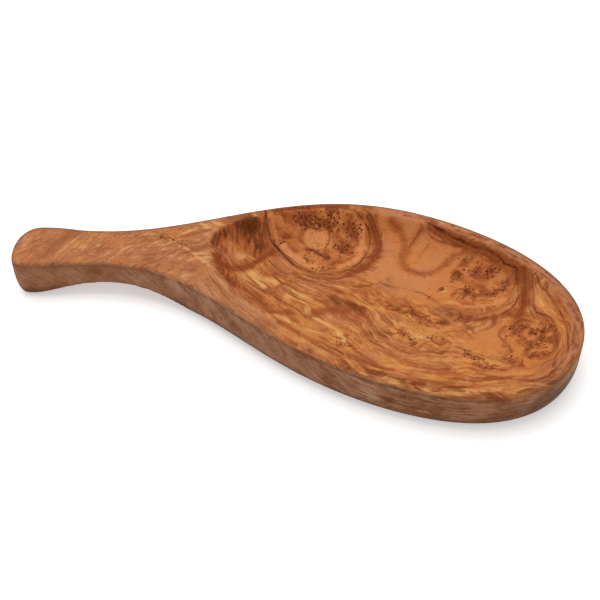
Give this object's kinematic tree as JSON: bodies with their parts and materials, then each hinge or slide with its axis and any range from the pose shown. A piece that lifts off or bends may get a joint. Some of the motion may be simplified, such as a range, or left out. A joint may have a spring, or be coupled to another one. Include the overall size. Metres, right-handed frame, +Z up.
{
  "type": "serving bowl",
  "caption": "Oval tapas bowl with a swept paddle handle, carved from solid olive wood: a shallow dish inside an even rim, rounded edges and a finger arch under the handle",
  "frame": {"origin": "on the flat base under the bowl, straight below the middle of the dish", "axes": "+X along the bowl towards its tip, with the handle towards -X and a little to -Y; +Z up out of the dish"},
  "size_m": [0.3542, 0.1506, 0.028],
  "materials": {
    "oiled_olive_wood": "sanded and oiled, satin, with a strong golden and dark brown burl figure"
  },
  "bodies": {
    "root": {"carved_bowl": "oiled_olive_wood"}
  },
  "joints": []
}
